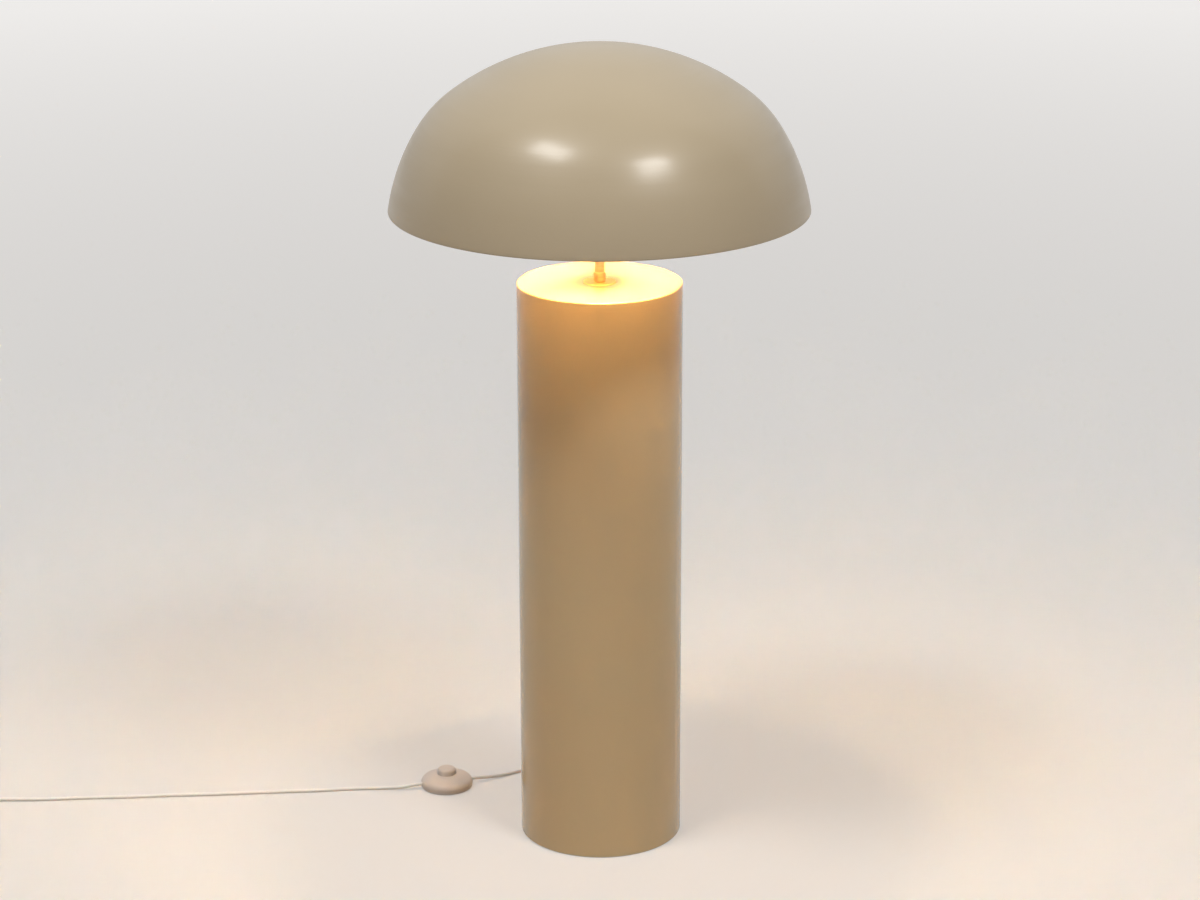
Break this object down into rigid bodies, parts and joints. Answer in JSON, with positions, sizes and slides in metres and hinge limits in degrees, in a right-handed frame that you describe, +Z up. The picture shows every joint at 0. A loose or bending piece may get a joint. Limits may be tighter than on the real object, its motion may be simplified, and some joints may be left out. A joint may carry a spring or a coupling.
{
  "type": "mushroom floor lamp",
  "caption": "Floor lamp: a spun metal dome shade on a thin stem over a plain drum column, with an in-line foot switch in its mains cord.",
  "frame": {"origin": "centre of the foot, on the floor", "axes": "+Z up along the column; the lamp faces -Y, and its cord leaves at the back, on +Y"},
  "size_m": [1.1602, 0.5036, 0.9961],
  "materials": {
    "column_lacquer": "gloss",
    "shade_lacquer": "gloss",
    "stem_brass": "satin",
    "zinc_steel": "satin",
    "cast_iron": "matte",
    "felt": "matte",
    "cord_vinyl": "satin",
    "holder_plastic": "satin",
    "holder_ceramic": "matte",
    "contact_brass": "satin",
    "bulb_opal": "satin",
    "bulb_white": "satin",
    "bulb_cap_metal": "satin",
    "switch_plastic": "satin",
    "inner_plastic": "matte",
    "rubber": "matte",
    "tie_fabric": "matte"
  },
  "bodies": {
    "root": {"ballast_bolt": "zinc_steel", "ballast_disc": "cast_iron", "ballast_nut": "zinc_steel", "ballast_washer": "zinc_steel", "base_lugs": "zinc_steel", "base_plate": "zinc_steel", "base_screws": "zinc_steel", "centre_contact": "contact_brass", "clamp_ring": "holder_plastic", "clamp_screws": "zinc_steel", "coil_tie": "tie_fabric", "column_shell": "column_lacquer", "cord_bush": "cord_vinyl", "cord_clamp": "inner_plastic", "cord_coil": "cord_vinyl", "cord_grips": "inner_plastic", "cord_lamp_lead": "cord_vinyl", "cord_mains_run": "cord_vinyl", "cord_plug_tail": "cord_vinyl", "foot_pads": "felt", "holder_cap": "holder_plastic", "holder_insert": "holder_ceramic", "holder_skirt": "holder_plastic", "inner_cord": "cord_vinyl", "inner_nut": "zinc_steel", "inner_washer": "zinc_steel", "pin_sleeves": "inner_plastic", "plug_body": "cord_vinyl", "plug_pins": "contact_brass", "plug_relief": "cord_vinyl", "saucer_washer": "stem_brass", "screw_shell": "contact_brass", "shade_dome": "shade_lacquer", "shade_nuts": "zinc_steel", "shade_spider": "zinc_steel", "stem_collar": "stem_brass", "stem_sleeve": "stem_brass", "switch_base": "switch_plastic", "switch_cover": "switch_plastic", "switch_mechanism": "inner_plastic", "switch_pads": "rubber", "switch_screws": "zinc_steel", "switch_spring": "zinc_steel", "switch_terminals": "contact_brass", "threaded_nipple": "zinc_steel"},
    "bulb": {"bulb_contact": "contact_brass", "bulb_cap": "bulb_cap_metal", "bulb_collar": "bulb_white", "bulb_globe": "bulb_opal"},
    "foot_button": {"switch_button": "switch_plastic"}
  },
  "joints": [
    {"name": "button_press", "type": "slide", "parent": "root", "child": "foot_button", "axis": [0, 0, -1], "range_m": [0, 0.0035], "stiffness_N_per_m": 900, "springref_m": -0.003, "deforming": ["switch_spring"]},
    {"name": "bulb_out", "type": "slide", "parent": "root", "child": "bulb", "axis": [0, 0, 1], "range_m": [0, 0.03]}
  ]
}
